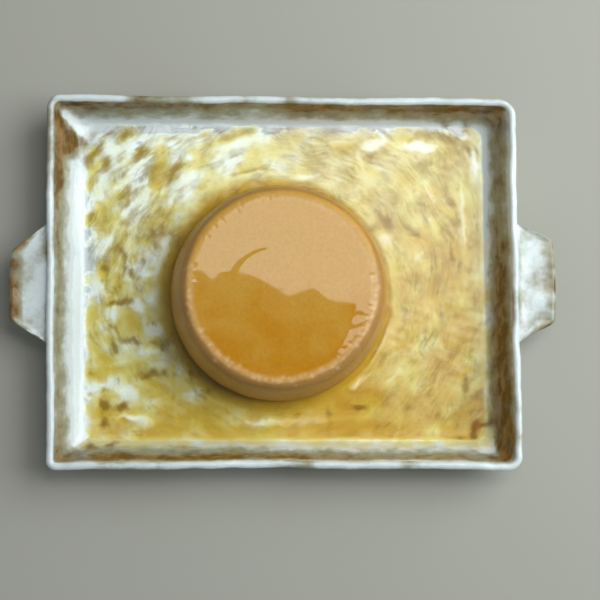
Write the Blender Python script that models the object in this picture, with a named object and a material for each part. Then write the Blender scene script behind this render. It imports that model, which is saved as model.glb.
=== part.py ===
"""A caramel pudding turned out onto a hand-built stoneware serving dish.

Three pieces make it: the dish with its two tab handles, the pudding that stands on the
dish's floor, and the thin caramel that has run down and lies round it.

Metres, +Z up. +X points to the right-hand tab and +Y to the far long side. The origin is
the middle of the dish's box, on the surface that it stands on.
"""

import math

import bmesh
import bpy
from mathutils import Vector

MM = 0.001
GAP = 0.3 * MM  # kept between pieces that touch

# The dish is one slab of clay. Its walls flare by a different run on each side of the flat floor.
RIM_LENGTH = 313 * MM  # outside, along X
RIM_WIDTH = 249 * MM  # outside, along Y
RIM_HEIGHT = 30 * MM
RIM_THICKNESS = 5 * MM
FLOOR_THICKNESS = 6 * MM
WALL_RUN = {"left": 23 * MM, "right": 19 * MM, "front": 19 * MM, "back": 13 * MM}
WALL_POWER = 1.7  # the wall rises as this power of its run: level at the floor, steep at the rim
WALL_STEPS = 8
RIM_STEPS = 6
# Outside radii of the rim's corners: right back, left back, left front, right front
CORNER_RADII = (11 * MM, 9 * MM, 6.5 * MM, 10 * MM)
FLOOR_CORNER = 9 * MM
CORNER_STEPS = 6
SIDE_STEPS = (13, 9)  # along a long side and along a short one

# Hand building leaves the dish a little out of true. The flat base stays level.
SKEW = 0.011  # how far the back leans to the left, for each metre of depth
FRONT_BOW = 2.0 * MM  # how far the front rim bends in at its middle
WAVE_OUT = 0.4 * MM  # swell of the walls in plan
WAVE_UP = 0.4 * MM  # rise and fall of the rim
WAVE_LENGTH = 95 * MM

# The tab handles stand out of the short sides, a little under the rim.
TABS = {
    "left_tab": {"side": -1, "middle": -2.3 * MM, "half_length": 31.0 * MM, "shoulder": 26 * MM},
    "right_tab": {"side": 1, "middle": 0.9 * MM, "half_length": 33.7 * MM, "shoulder": 19 * MM},
}
TAB_REACH = 25 * MM  # from the rim's outer edge to the tip
TAB_TOP = 27 * MM
TAB_THICKNESS = 6 * MM
TAB_ROOT = 3.5 * MM  # how deep the tab's root lies in the wall
TAB_DIP = 1.3 * MM  # hollow that a thumb pressed into its top
TAB_SECTIONS = 28
TAB_TIP_STEPS = 6
TAB_TOP_STEPS = 4

# The pudding is turned: a blunt cone with a soft shoulder and a shallow dish in its top.
PUDDING_CENTRE = Vector((-2.6 * MM, -5.6 * MM, 0))
PUDDING_BASE_RADIUS = 72.5 * MM
PUDDING_TOP_RADIUS = 66 * MM  # where the side and the top would meet
PUDDING_TOP = 51 * MM  # above the table
PUDDING_FOOT_RADIUS = 2 * MM
PUDDING_SHOULDER = 6 * MM
PUDDING_BELLY = 0.9 * MM  # how far the side bulges
PUDDING_SINK = 1.0 * MM  # how far the middle of the top lies under its edge
PUDDING_STEPS = 72

# The caramel lies level over the floor and stops short of the walls along an uneven shore.
CARAMEL_TOP = 8 * MM
CARAMEL_EDGE_HEIGHT = 0.8 * MM  # height of the thin lip, over which the edge rounds off
CARAMEL_EDGE_RUN = 1.2 * MM
CARAMEL_REACH = 0.13  # how far up the walls' run the caramel goes where it goes furthest
SHORE_MEAN = 1.2 * MM
SHORE_SWING = 0.5 * MM


def remove_everything():
    for obj in list(bpy.data.objects):
        bpy.data.objects.remove(obj, do_unlink=True)


def make_material(name, colour, roughness, metallic=0.0):
    material = bpy.data.materials.new(name)
    material.use_nodes = True
    shader = material.node_tree.nodes["Principled BSDF"]
    shader.inputs["Base Color"].default_value = (*colour, 1.0)
    shader.inputs["Roughness"].default_value = roughness
    shader.inputs["Metallic"].default_value = metallic
    return material


def make_object(name, bm, material=None):
    bmesh.ops.recalc_face_normals(bm, faces=bm.faces)
    mesh = bpy.data.meshes.new(name)
    bm.to_mesh(mesh)
    bm.free()
    mesh.shade_smooth()
    mesh.set_sharp_from_angle(angle=math.radians(50))
    if material:
        mesh.materials.append(material)
    obj = bpy.data.objects.new(name, mesh)
    bpy.context.scene.collection.objects.link(obj)
    return obj


def loft(loops, ends_closed):
    """Quads between closed loops of equally many points; the end loops are capped, or joined in a ring."""
    bm = bmesh.new()
    rows = [[bm.verts.new(point) for point in loop] for loop in loops]
    pairs = list(zip(rows, rows[1:]))
    if ends_closed:
        bm.faces.new(rows[0])
        bm.faces.new(reversed(rows[-1]))
    else:
        pairs.append((rows[-1], rows[0]))
    for low, high in pairs:
        for i in range(len(low)):
            j = (i + 1) % len(low)
            bm.faces.new((low[i], low[j], high[j], high[i]))
    return bm


def smooth_step(t):
    t = min(max(t, 0.0), 1.0)
    return t * t * (3 - 2 * t)


# ---------------------------------------------------------------- dish


def wall_height(share):
    """Height of the inner wall's surface at a share of its run."""
    return FLOOR_THICKNESS + (RIM_HEIGHT - RIM_THICKNESS / 2 - FLOOR_THICKNESS) * share**WALL_POWER


def wall_thickness(share):
    return FLOOR_THICKNESS + (RIM_THICKNESS - FLOOR_THICKNESS) * share


def wall_normal(share):
    """(outward, downward) parts of the normal on the outer face, for the mean run of the four walls."""
    run = sum(WALL_RUN.values()) / len(WALL_RUN)
    rise = (RIM_HEIGHT - RIM_THICKNESS / 2 - FLOOR_THICKNESS) * WALL_POWER * share ** (WALL_POWER - 1)
    length = math.hypot(run, rise)
    return rise / length, run / length


def sides_at(share, outward=0.0):
    """Distances of the left, right, front and back side from the rim's middle, at a share of the run."""
    inner_rim = {
        "left": RIM_LENGTH / 2 - RIM_THICKNESS,
        "right": RIM_LENGTH / 2 - RIM_THICKNESS,
        "front": RIM_WIDTH / 2 - RIM_THICKNESS,
        "back": RIM_WIDTH / 2 - RIM_THICKNESS,
    }
    return [inner_rim[side] - (1 - share) * WALL_RUN[side] + outward for side in WALL_RUN]


def corners_at(share, outward=0.0):
    """Radii of the four corners at a share of the walls' run, kept over 3 mm."""
    return [
        max(FLOOR_CORNER + (radius - RIM_THICKNESS - FLOOR_CORNER) * share + outward, 3 * MM)
        for radius in CORNER_RADII
    ]


def rounded_loop(sides, radii, height):
    """Points round a rectangle with round corners, anticlockwise from the right side's back end."""
    left, right, front, back = sides
    corners = ((right, back), (-left, back), (-left, -front), (right, -front))
    arcs = []
    for quarter, ((x, y), radius) in enumerate(zip(corners, radii)):
        centre = Vector((x - math.copysign(radius, x), y - math.copysign(radius, y), height))
        arc = []
        for step in range(CORNER_STEPS + 1):
            angle = (quarter + step / CORNER_STEPS) * math.pi / 2
            arc.append(centre + Vector((math.cos(angle), math.sin(angle), 0)) * radius)
        arcs.append(arc)
    points = []
    for quarter, arc in enumerate(arcs):
        following = arcs[(quarter + 1) % 4][0]
        steps = SIDE_STEPS[quarter % 2]
        points += arc
        points += [arc[-1].lerp(following, step / steps) for step in range(1, steps)]
    return points


def hand_built(point):
    """A point of the true dish moved to its hand-built place. Walls and rim move, the base stays flat."""
    lift = min(max((point.z - FLOOR_THICKNESS) / (RIM_HEIGHT - FLOOR_THICKNESS), 0.0), 1.0)
    turn = 2 * math.pi / WAVE_LENGTH
    moved = point.copy()
    moved.x += lift * WAVE_OUT * math.sin(turn * point.y + 1.0) - SKEW * point.y
    moved.y += lift * WAVE_OUT * math.sin(0.8 * turn * point.x + 2.4)
    if point.y < 0:
        middle = max(1 - (2 * point.x / RIM_LENGTH) ** 2, 0.0)
        moved.y += lift * FRONT_BOW * middle * smooth_step(-2 * point.y / RIM_WIDTH)
    moved.z += lift * WAVE_UP * math.sin(0.6 * turn * point.x + 0.9 * turn * point.y)
    return moved


def outer_stations():
    """(share, outward, height) of the outer face from the flat base up to the rim."""
    stations = []
    for step in range(WALL_STEPS + 1):
        share = step / WALL_STEPS
        out, down = wall_normal(share)
        thickness = wall_thickness(share)
        stations.append((share, thickness * out, wall_height(share) - thickness * down))
    return stations


def rim_stations():
    """(share, outward, height) over the half-round rim, from its outer edge to its inner one."""
    radius = RIM_THICKNESS / 2
    stations = []
    for step in range(RIM_STEPS + 1):
        angle = math.pi * step / RIM_STEPS
        height = RIM_HEIGHT - radius + radius * math.sin(angle)
        stations.append((1.0, radius * (1 + math.cos(angle)), height))
    return stations


def inner_stations():
    """(share, outward, height) of the inner face from just under the rim down to the floor."""
    shares = [step / WALL_STEPS for step in reversed(range(WALL_STEPS))]
    return [(share, 0.0, wall_height(share)) for share in shares]


def dish_shell():
    loops = []
    for share, outward, height in outer_stations() + rim_stations() + inner_stations():
        loop = rounded_loop(sides_at(share, outward), corners_at(share, outward), height)
        loops.append([hand_built(point) for point in loop])
    return loft(loops, ends_closed=True)


def outer_face_back(height):
    """How far the outer face of the wall lies inside the rim's outer edge at a height, on the left side."""
    edge = RIM_LENGTH / 2
    face = outer_stations() + rim_stations()[:1]
    stations = [(z, edge - sides_at(share, outward)[0]) for share, outward, z in face]
    for (low, low_back), (high, high_back) in zip(stations, stations[1:]):
        if low <= height <= high:
            return low_back + (high_back - low_back) * (height - low) / (high - low)
    return 0.0


def tab_reach(y, tab):
    """How far the tab stands out of the wall at y. At both ends it falls off in an S and sinks in."""
    sunk = TAB_ROOT / 2
    from_middle = abs(y - tab["middle"])
    inside = (tab["half_length"] + tab["shoulder"] / 2 - from_middle) / tab["shoulder"]
    crown = 0.06 * (1 - (from_middle / tab["half_length"]) ** 2)
    return (TAB_REACH + sunk) * smooth_step(inside) * (1 + crown) / 1.06 - sunk


def tab_section(y, tab):
    """A closed cut through the tab at y: hollowed top, half-round tip, flat underside, root in the wall."""
    reach = tab_reach(y, tab)
    half = TAB_THICKNESS / 2
    tip = min(half, 0.6 * (reach + TAB_ROOT))
    flat = reach - tip
    outline = []
    for step in range(TAB_TOP_STEPS):
        share = step / TAB_TOP_STEPS
        hollow = TAB_DIP * math.sin(math.pi * share) * max(reach, 0.0) / TAB_REACH
        outline.append((-TAB_ROOT + (flat + TAB_ROOT) * share, TAB_TOP - hollow))
    for step in range(TAB_TIP_STEPS + 1):
        angle = math.pi / 2 - math.pi * step / TAB_TIP_STEPS
        outline.append((flat + tip * math.cos(angle), TAB_TOP - half + half * math.sin(angle)))
    for step in range(1, TAB_TOP_STEPS):
        share = step / (TAB_TOP_STEPS - 1)
        outline.append((flat - (flat + TAB_ROOT) * share, TAB_TOP - TAB_THICKNESS))
    points = []
    for out, height in outline:
        sag = outer_face_back(height) * max(1 - max(out, 0.0) / TAB_REACH, 0.0)
        x = tab["side"] * (RIM_LENGTH / 2 - sag + out)
        points.append(hand_built(Vector((x, y, height))))
    return points


def tab_guide(name, tab):
    """The tab as a hidden guide, which a Boolean joins to the dish."""
    reach_y = tab["half_length"] + tab["shoulder"] / 2
    sections = []
    for step in range(TAB_SECTIONS + 1):
        y = tab["middle"] + reach_y * (2 * step / TAB_SECTIONS - 1)
        sections.append(tab_section(y, tab))
    guide = make_object(name, loft(sections, ends_closed=True))
    guide.hide_render = True
    guide.display_type = "WIRE"
    return guide


def make_dish(material):
    dish = make_object("dish", dish_shell(), material)
    guides = [tab_guide(name, tab) for name, tab in TABS.items()]
    for guide in guides:
        join = dish.modifiers.new(guide.name, "BOOLEAN")
        join.operation = "UNION"
        join.object = guide
    return dish, guides


# ---------------------------------------------------------------- pudding


def pudding_profile():
    """(radius, height) from the base's middle, up the side, over the shoulder, to the top's middle."""
    bottom = FLOOR_THICKNESS + GAP
    side_angle = math.atan2(PUDDING_BASE_RADIUS - PUDDING_TOP_RADIUS, PUDDING_TOP - bottom)
    points = [(0.0, bottom), (0.5 * PUDDING_BASE_RADIUS, bottom)]
    for step in range(4):
        angle = -math.pi / 2 + step / 3 * math.pi / 2
        points.append(
            (
                PUDDING_BASE_RADIUS - PUDDING_FOOT_RADIUS * (1 - math.cos(angle)),
                bottom + PUDDING_FOOT_RADIUS * (1 + math.sin(angle)),
            )
        )
    foot_z = bottom + PUDDING_FOOT_RADIUS
    shoulder_z = PUDDING_TOP - PUDDING_SHOULDER
    shoulder_radius = PUDDING_TOP_RADIUS + PUDDING_SHOULDER * math.tan(side_angle)
    side_steps = 7
    for step in range(1, side_steps):
        share = step / side_steps
        radius = PUDDING_BASE_RADIUS + (shoulder_radius - PUDDING_BASE_RADIUS) * share
        radius += PUDDING_BELLY * math.sin(math.pi * share)
        points.append((radius, foot_z + (shoulder_z - foot_z) * share))
    for step in range(6):
        angle = step / 5 * math.pi / 2
        points.append(
            (
                shoulder_radius - PUDDING_SHOULDER * (1 - math.cos(angle)),
                shoulder_z + PUDDING_SHOULDER * math.sin(angle),
            )
        )
    edge = points[-1][0]
    for share in (0.82, 0.55, 0.25, 0.0):
        points.append((edge * share, PUDDING_TOP - PUDDING_SINK * math.cos(share * math.pi / 2) ** 2))
    return points


def slumped(point):
    """A point of the turned pudding moved to where the soft one has it: slightly oval and leaning."""
    angle = math.atan2(point.y, point.x)
    rise = (point.z - FLOOR_THICKNESS) / (PUDDING_TOP - FLOOR_THICKNESS)
    swell = 1 + 0.004 * math.sin(2 * angle + 0.7) + 0.003 * rise * math.sin(3 * angle + 2.0)
    lean = Vector((0.5 * MM * rise, -0.3 * MM * rise, 0.0))
    return Vector((point.x * swell, point.y * swell, point.z)) + lean


def make_pudding(material):
    bm = bmesh.new()
    profile = [bm.verts.new((radius, 0, height)) for radius, height in pudding_profile()]
    edges = [bm.edges.new(pair) for pair in zip(profile, profile[1:])]
    bmesh.ops.spin(
        bm,
        geom=profile + edges,
        cent=(0, 0, 0),
        axis=(0, 0, 1),
        angle=2 * math.pi,
        steps=PUDDING_STEPS,
        use_merge=True,
    )
    bmesh.ops.remove_doubles(bm, verts=bm.verts, dist=0.01 * MM)
    for vert in bm.verts:
        vert.co = slumped(vert.co)
    pudding = make_object("pudding", bm, material)
    pudding.location = PUDDING_CENTRE
    return pudding


# ---------------------------------------------------------------- caramel


def shore(point):
    """How far the caramel stops short of its furthest reach at a point of its outline."""
    wave = math.sin(point.x * 90 + point.y * 61) + 0.6 * math.sin(point.x * 151 - point.y * 127 + 1.3)
    return SHORE_MEAN + SHORE_SWING * wave


def caramel_outline(inset, height, share=CARAMEL_REACH):
    points = []
    for point in rounded_loop(sides_at(share, -inset), corners_at(share, -inset), height):
        toward = (PUDDING_CENTRE - point) * Vector((1, 1, 0))
        points.append(hand_built(point + toward.normalized() * shore(point)))
    for point in points:
        point.z = height
    return points


def make_caramel(material):
    bottom = FLOOR_THICKNESS + GAP
    lip = bottom + CARAMEL_EDGE_HEIGHT
    outer = [
        caramel_outline(0.0, bottom, share=0.0),
        caramel_outline(0.0, lip),
        caramel_outline(CARAMEL_EDGE_RUN / 3, (lip + CARAMEL_TOP) / 2),
        caramel_outline(CARAMEL_EDGE_RUN, CARAMEL_TOP),
    ]
    hole_radius = PUDDING_BASE_RADIUS * 1.005 + 2 * GAP

    def hole(height):
        ring = []
        for point in outer[-1]:
            outward = (point - PUDDING_CENTRE) * Vector((1, 1, 0))
            ring.append(PUDDING_CENTRE + outward.normalized() * hole_radius + Vector((0, 0, height)))
        return ring

    pool = loft([hole(bottom), *outer, hole(CARAMEL_TOP)], ends_closed=False)
    return make_object("caramel", pool, material)


# ---------------------------------------------------------------- the whole


def stand_on_origin(pieces, dish, guides):
    """Hangs every piece on an empty that brings the middle of the dish's box over the origin."""
    stand = bpy.data.objects.new("stand", None)
    bpy.context.scene.collection.objects.link(stand)
    for piece in (*pieces, *guides):
        piece.parent = stand
    bpy.context.view_layer.update()
    whole = dish.evaluated_get(bpy.context.evaluated_depsgraph_get())
    corners = [Vector(corner) for corner in whole.bound_box]
    low = Vector(min(corner[axis] for corner in corners) for axis in range(3))
    high = Vector(max(corner[axis] for corner in corners) for axis in range(3))
    middle = (low + high) / 2
    stand.location = (-middle.x, -middle.y, 0)


def main():
    remove_everything()
    stoneware = make_material("glazed_stoneware", (0.62, 0.64, 0.58), 0.25)
    custard = make_material("custard", (0.62, 0.36, 0.13), 0.3)
    syrup = make_material("caramel_syrup", (0.66, 0.42, 0.05), 0.08)
    dish, guides = make_dish(stoneware)
    pudding = make_pudding(custard)
    caramel = make_caramel(syrup)
    stand_on_origin((dish, pudding, caramel), dish, guides)


main()
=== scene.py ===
import math

import bpy
import numpy as np
from mathutils import Matrix, Vector


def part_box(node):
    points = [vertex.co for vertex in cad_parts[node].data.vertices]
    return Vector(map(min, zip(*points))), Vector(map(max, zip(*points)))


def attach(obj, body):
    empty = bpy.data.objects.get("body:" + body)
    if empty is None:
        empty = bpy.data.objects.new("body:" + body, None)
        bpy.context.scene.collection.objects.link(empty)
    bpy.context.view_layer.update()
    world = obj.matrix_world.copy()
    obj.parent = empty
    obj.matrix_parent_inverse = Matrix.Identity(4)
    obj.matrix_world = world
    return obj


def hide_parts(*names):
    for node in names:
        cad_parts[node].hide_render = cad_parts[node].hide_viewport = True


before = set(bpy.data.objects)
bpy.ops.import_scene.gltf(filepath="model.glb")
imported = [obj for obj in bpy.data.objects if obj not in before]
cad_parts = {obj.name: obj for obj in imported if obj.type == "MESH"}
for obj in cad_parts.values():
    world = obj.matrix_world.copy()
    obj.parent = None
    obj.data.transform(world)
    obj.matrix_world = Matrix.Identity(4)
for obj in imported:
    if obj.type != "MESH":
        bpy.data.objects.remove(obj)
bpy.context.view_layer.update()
MM = 0.001

# ---------------------------------------------------------------- camera, lights and table
# The dish lies on a plain pale table and is seen from almost straight above, a little from the front
# left. Two soft lights: a broad one overhead, whose front edge shows in the pudding's wet top, and a
# cooler one from the right and the back, which leaves the right and the back walls in shade.
target = Vector((10.2 * MM, -12.2 * MM, 30 * MM))
toward_camera = Vector((-0.047, -0.096, 1.0)).normalized()
camera_distance = 1.25
lens_mm = 113.6
sensor_mm = 36.0

bpy.context.scene.view_settings.view_transform = "Standard"


def aimed(toward, up=Vector((0, 1, 0))):
    """Rotation whose +Z runs along toward and whose +Y lies as near to up as it can."""
    z_axis = toward.normalized()
    x_axis = up.cross(z_axis).normalized()
    y_axis = z_axis.cross(x_axis)
    return Matrix((x_axis, y_axis, z_axis)).transposed().to_4x4()


lens = bpy.data.cameras.new("camera")
lens.lens = lens_mm
lens.sensor_width = sensor_mm
lens.clip_start = 0.01
camera = bpy.data.objects.new("camera", lens)
camera.matrix_world = Matrix.Translation(target + toward_camera * camera_distance) @ aimed(toward_camera)
bpy.context.scene.collection.objects.link(camera)
bpy.context.scene.camera = camera


def area_light(name, place, aim, size, radiance, colour, up=Vector((0, 1, 0))):
    """A soft light of that size at place, aimed at aim. Its power is radiance times pi times its area."""
    light = bpy.data.lights.new(name, "AREA")
    light.shape = "RECTANGLE"
    light.size, light.size_y = size
    light.energy = radiance * math.pi * size[0] * size[1]
    light.color = colour
    lamp = bpy.data.objects.new(name, light)
    lamp.matrix_world = Matrix.Translation(place) @ aimed(place - aim, up)
    bpy.context.scene.collection.objects.link(lamp)


overhead_slant = math.radians(-11.7)  # its front edge comes nearer toward the right
overhead_front = Vector((0.145, 0.102, 1.30))  # the middle of that edge
overhead_size = (0.52, 0.34)
overhead_up = Vector((-math.sin(overhead_slant), math.cos(overhead_slant), 0))
overhead_place = overhead_front + overhead_up * overhead_size[1] / 2
area_light(
    "overhead_softbox",
    place=overhead_place,
    aim=overhead_place - Vector((0, 0, 1)),
    size=overhead_size,
    radiance=4.3,
    colour=(1.0, 0.98, 0.96),
    up=overhead_up,
)
window_bearing, window_elevation, window_distance = math.radians(21), math.radians(44), 1.35
area_light(
    "window_from_the_right",
    place=window_distance * Vector((
        math.cos(window_elevation) * math.cos(window_bearing),
        math.cos(window_elevation) * math.sin(window_bearing),
        math.sin(window_elevation),
    )),
    aim=Vector((0.0, 0.0, 0.0)),
    size=(1.2, 1.2),
    radiance=4.0,
    colour=(0.92, 0.98, 1.0),
)

world = bpy.data.worlds.new("room")
world.use_nodes = True
world.node_tree.nodes["Background"].inputs["Color"].default_value = (0.86, 0.93, 1.0, 1)
world.node_tree.nodes["Background"].inputs["Strength"].default_value = 0.27
bpy.context.scene.world = world

bpy.ops.mesh.primitive_plane_add(size=6.0)
table = bpy.context.object
table.name = "table"
paint = bpy.data.materials.new("table_paint")
paint.use_nodes = True
paint.node_tree.nodes["Principled BSDF"].inputs["Base Color"].default_value = (0.42, 0.41, 0.35, 1)
paint.node_tree.nodes["Principled BSDF"].inputs["Roughness"].default_value = 0.8
table.data.materials.append(paint)

# ---------------------------------------------------------------- dish
# One slab of iron-brown stoneware, beaten over a form and trimmed, with two tab handles. White slip is
# swept over it with a coarse straw brush, in short strokes round the floor and long ones along the
# walls, so that clay shows between them, and a clear glossy glaze lies over all of it.
rim_length, rim_width = 313 * MM, 249 * MM
rim_height = 30 * MM
rim_thickness = 5 * MM
floor_thickness = 6 * MM
wall_run = {"left": 23 * MM, "right": 19 * MM, "front": 19 * MM, "back": 13 * MM}
wall_power = 1.7
rim_corners = {"right_back": 11 * MM, "left_back": 9 * MM, "left_front": 6.5 * MM, "right_front": 10 * MM}
floor_corner = 9 * MM
skew, front_bow = 0.011, 2.0 * MM
wave_out, wave_up, wave_length = 0.4 * MM, 0.4 * MM, 95 * MM
middle_shift = np.array([-0.25, -0.17, 0.0]) * MM  # brings the middle of the dish's box to the origin
tab_reach, tab_top, tab_thickness, tab_dip, tab_root = 25 * MM, 27 * MM, 6 * MM, 1.3 * MM, 3.5 * MM
tabs = (
    {"side": -1, "middle": -2.3 * MM, "front": (31.7 * MM, 21 * MM), "back": (32.2 * MM, 26 * MM)},
    {"side": 1, "middle": 0.9 * MM, "front": (33.6 * MM, 18 * MM), "back": (34.8 * MM, 15 * MM)},
)  # front and back: half its length on that side, and over how much of it the edge curves in
grid_step = 1.15 * MM  # between the grid's lines over the floor
wall_lines = 22  # lines up each wall
pudding_middle = np.array([sum(pair) / 2 for pair in zip(*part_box("pudding"))])


def smooth_step(t):
    """0 below 0, 1 above 1, and 3t^2 - 2t^3 between."""
    t = np.clip(t, 0.0, 1.0)
    return t * t * (3 - 2 * t)


def swell(x, y, wavelength, seed, octaves=3):
    """Smooth noise about -1 to 1: eight plane waves at random headings for each octave, each octave with
    half the wavelength and half the height of the one before."""
    draw = np.random.default_rng(seed)
    total = np.zeros(np.shape(x))
    for octave in range(octaves):
        for heading, phase, stretch in draw.uniform((0, 0, 0.75), (math.pi, 2 * math.pi, 1.35), (8, 3)):
            turn = 2 * math.pi / (wavelength * stretch / 2**octave)
            total += np.sin(turn * (x * math.cos(heading) + y * math.sin(heading)) + phase) / 2**octave
    return total / 3.2


def mesh_piece(name, points, blocks, smooth=True, **facts):
    """A mesh object at the origin, from an array of points and blocks of faces, one face's corners to a
    row. Each further keyword becomes a number or a vector kept at every point."""
    corners = np.concatenate([block.ravel() for block in blocks]).astype(np.int32)
    sizes = np.concatenate([np.full(len(block), block.shape[1]) for block in blocks])
    mesh = bpy.data.meshes.new(name)
    mesh.vertices.add(len(points))
    mesh.vertices.foreach_set("co", points.astype(np.float32).ravel())
    mesh.loops.add(len(corners))
    mesh.loops.foreach_set("vertex_index", corners)
    mesh.polygons.add(len(sizes))
    mesh.polygons.foreach_set("loop_start", np.concatenate(([0], np.cumsum(sizes)[:-1])).astype(np.int32))
    mesh.update(calc_edges=True)
    if smooth:
        mesh.shade_smooth()
    for fact, values in facts.items():
        vector = values.ndim == 2
        layer = mesh.attributes.new(fact, "FLOAT_VECTOR" if vector else "FLOAT", "POINT")
        layer.data.foreach_set("vector" if vector else "value", values.astype(np.float32).ravel())
    piece = bpy.data.objects.new(name, mesh)
    bpy.context.scene.collection.objects.link(piece)
    return piece


def quads_between(low, high):
    """Quads between two closed rows of point numbers, which turn the same way."""
    return np.stack([low, np.roll(low, -1), np.roll(high, -1), high], axis=-1)


def wall_height(level):
    """Height of the inside: the floor's up to level 0, then rising as a power of the run to the rim."""
    rise = rim_height - rim_thickness / 2 - floor_thickness
    return floor_thickness + rise * np.clip(level, 0, 1) ** wall_power


def side_at(level, half, run):
    """Distance of a side's line from the middle: the inner rim at level 1, the floor's edge at 0. Below 0
    the line moves in by a floor corner's radius for each level."""
    edge = half - rim_thickness
    return np.where(level >= 0, edge - (1 - level) * run, edge - run + level * floor_corner)


def corner_at(level, radius):
    """Radius of a corner at a level, from the floor's to the rim's. It dies away to a point inside level 0."""
    inner = radius - rim_thickness
    return np.where(level >= 0, floor_corner + (inner - floor_corner) * level, floor_corner * (1 + level))


def rounded(x, y, level, on_x_side, reach_x, reach_y, radius):
    """Points of a sharp-cornered rectangle moved on to its rounded corners. A point at distance a from the
    corner goes to the angle 45 degrees times (1 - a / radius) on the arc, counted from its own side."""
    radius = np.maximum(radius, 1e-6)
    along = np.where(on_x_side, reach_y - np.abs(y), reach_x - np.abs(x))
    angle = math.pi / 4 * (1 - along / radius)
    near, far = radius * np.cos(angle), radius * np.sin(angle)
    bent_x = reach_x - radius + np.where(on_x_side, near, far)
    bent_y = reach_y - radius + np.where(on_x_side, far, near)
    bends = (along < radius) & (radius > 1e-5)
    return np.where(bends, np.sign(x) * bent_x, x), np.where(bends, np.sign(y) * bent_y, y)


def by_quadrant(x, y, left_front, right_front, left_back, right_back):
    """The value of the quadrant that a point lies in."""
    front = np.where(x < 0, left_front, right_front)
    back = np.where(x < 0, left_back, right_back)
    return np.where(y < 0, front, back)


def reaches(x, y, level, outward=0.0):
    """Where the sides of a level's rectangle lie, and its corner's radius, in a point's own quadrant."""
    run_x = np.where(x < 0, wall_run["left"], wall_run["right"])
    run_y = np.where(y < 0, wall_run["front"], wall_run["back"])
    rim_radius = by_quadrant(x, y, *(rim_corners[corner] for corner in (
        "left_front", "right_front", "left_back", "right_back")))
    reach_x = side_at(level, rim_length / 2, run_x) + outward
    reach_y = side_at(level, rim_width / 2, run_y) + outward
    return reach_x, reach_y, np.maximum(corner_at(level, rim_radius), 0) + outward


def by_hand(points):
    """Moves the true dish's points to their hand-built places: a lean to the left at the back, a front rim
    that bends in at its middle, slow waves in the walls and the rim, and small dents."""
    x, y, z = points.T
    lift = np.clip((z - floor_thickness) / (rim_height - floor_thickness), 0, 1)
    turn = 2 * math.pi / wave_length
    moved = points.copy()
    moved[:, 0] += lift * wave_out * np.sin(turn * y + 1.0) - skew * y
    moved[:, 1] += lift * wave_out * np.sin(0.8 * turn * x + 2.4)
    bow = np.maximum(1 - (2 * x / rim_length) ** 2, 0) * smooth_step(-2 * y / rim_width)
    moved[:, 1] += np.where(y < 0, lift * front_bow * bow, 0)
    moved[:, 2] += lift * wave_up * np.sin(0.6 * turn * x + 0.9 * turn * y)
    moved[:, 2] += lift * 0.15 * MM * swell(x, y, 30 * MM, seed=3)
    moved[:, 0] += lift * 0.22 * MM * swell(x, y, 26 * MM, seed=4)
    moved[:, 1] += lift * 0.22 * MM * swell(x, y, 26 * MM, seed=5)
    return moved + middle_shift


def wall_face(share):
    """(level, outward, height) of the wall's outer face: the inner face moved out along its normal by the
    wall's thickness, which goes from the floor's to the rim's."""
    run = sum(wall_run.values()) / len(wall_run)
    rise = (rim_height - rim_thickness / 2 - floor_thickness) * wall_power * share ** (wall_power - 1)
    length = np.hypot(run, rise)
    thickness = floor_thickness + (rim_thickness - floor_thickness) * share
    return share, thickness * rise / length, wall_height(share) - thickness * run / length


# The inside is a grid of straight lines, dense on the walls, whose corners are then rounded.
def grid_lines(half, near_run, far_run):
    """Places of the lines across one direction and the level of each: up the near wall, over the floor at
    an even step, and up the far wall."""
    up = np.linspace(1, 0, wall_lines + 1)[:-1]
    low = -(half - rim_thickness - near_run)
    high = half - rim_thickness - far_run
    count = int(round((high - low) / grid_step)) + 1
    flat = np.linspace(low, high, count)
    inset = -np.minimum(flat - low, high - flat) / floor_corner
    near = -(half - rim_thickness - (1 - up) * near_run)
    far = (half - rim_thickness - (1 - up) * far_run)[::-1]
    return np.concatenate((near, flat, far)), np.concatenate((up, inset, up[::-1]))


x_lines, x_levels = grid_lines(rim_length / 2, wall_run["left"], wall_run["right"])
y_lines, y_levels = grid_lines(rim_width / 2, wall_run["front"], wall_run["back"])
flat_x, flat_y = (axis.ravel() for axis in np.meshgrid(x_lines, y_lines))
level_x, level_y = (axis.ravel() for axis in np.meshgrid(x_levels, y_levels))
inside_level = np.maximum(level_x, level_y)
inside_x, inside_y = rounded(
    flat_x, flat_y, inside_level, level_x >= level_y, *reaches(flat_x, flat_y, inside_level)
)
numbers = np.arange(len(flat_x)).reshape(len(y_lines), len(x_lines))
inside_quads = np.stack(
    [numbers[:-1, :-1], numbers[:-1, 1:], numbers[1:, 1:], numbers[1:, :-1]], axis=-1
).reshape(-1, 4)


# The brush strokes. The straw brush leaves a raised bar of slip with lines of bristles along it.
def swept_heading(x, y):
    """The way the brush went at a place: round the pudding, and fanned out in the left front corner."""
    around = np.arctan2(y - pudding_middle[1], x - pudding_middle[0]) + math.pi / 2
    fan = smooth_step((-x - 60 * MM) / (50 * MM)) * smooth_step((-y - 20 * MM) / (40 * MM))
    return around + fan * 1.1


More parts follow.
